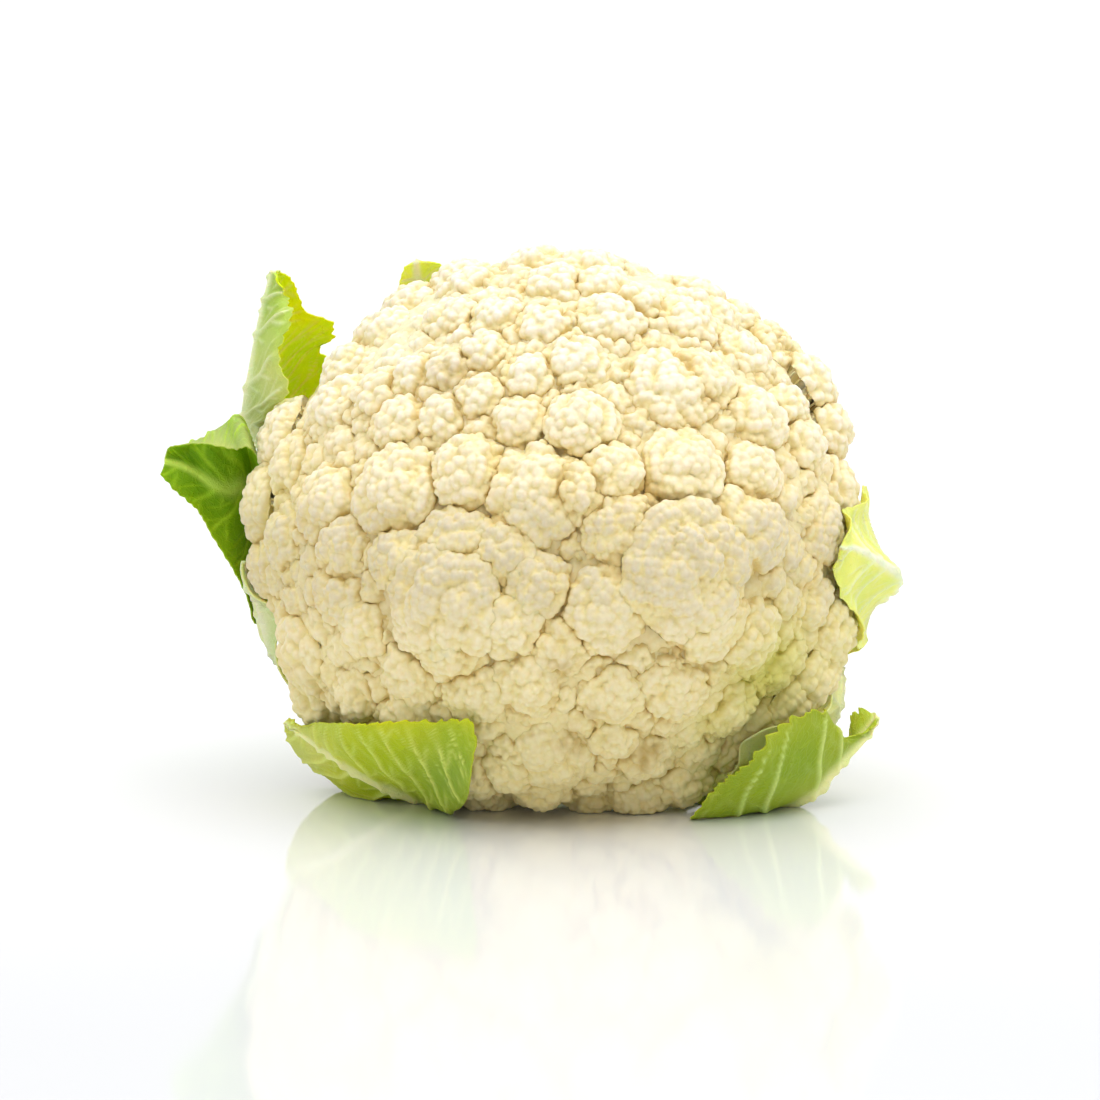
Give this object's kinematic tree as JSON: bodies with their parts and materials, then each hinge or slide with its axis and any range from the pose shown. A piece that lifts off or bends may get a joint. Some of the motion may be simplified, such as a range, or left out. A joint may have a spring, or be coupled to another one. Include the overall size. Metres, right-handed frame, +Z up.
{
  "type": "cauliflower",
  "caption": "Whole cauliflower as picked: a cream head of close florets on a short cut stem, with a ring of trimmed green and yellow leaves, lying on its side with the crown leaning forward.",
  "frame": {"origin": "Middle of the footprint's box, on the surface that the head lies on, at z = 0.", "axes": "+Z up from the surface. The crown of the head leans towards -Y, its cut stem points to +Y and down, and +X runs along the longest side, from the left leaves to the right ones."},
  "size_m": [0.2192, 0.1784, 0.1593],
  "materials": {
    "curd": "Matt, finely grained cream curd, tan in the crevices, a little light passes into it.",
    "stem": "Pale green-white smooth skin with a paler, slightly rough cut end.",
    "leaf_green": "Satin waxy leaf, fresh green with raised pale veins, thin enough to let light through.",
    "leaf_pale": "Satin waxy leaf base, yellow-green to near white, with raised ribs."
  },
  "bodies": {
    "root": {"curd": "curd", "stem": "stem", "leaf_upper_left": "leaf_green", "leaf_left": "leaf_green", "leaf_left_under": "leaf_pale", "leaf_lower_left": "leaf_green", "leaf_lower_right_inner": "leaf_pale", "leaf_lower_right": "leaf_green", "leaf_right": "leaf_pale", "leaf_top": "leaf_pale", "leaf_top_right": "leaf_pale", "leaf_back_right": "leaf_pale", "leaf_back_upper": "leaf_pale", "leaf_back_lower": "leaf_pale"}
  },
  "joints": []
}
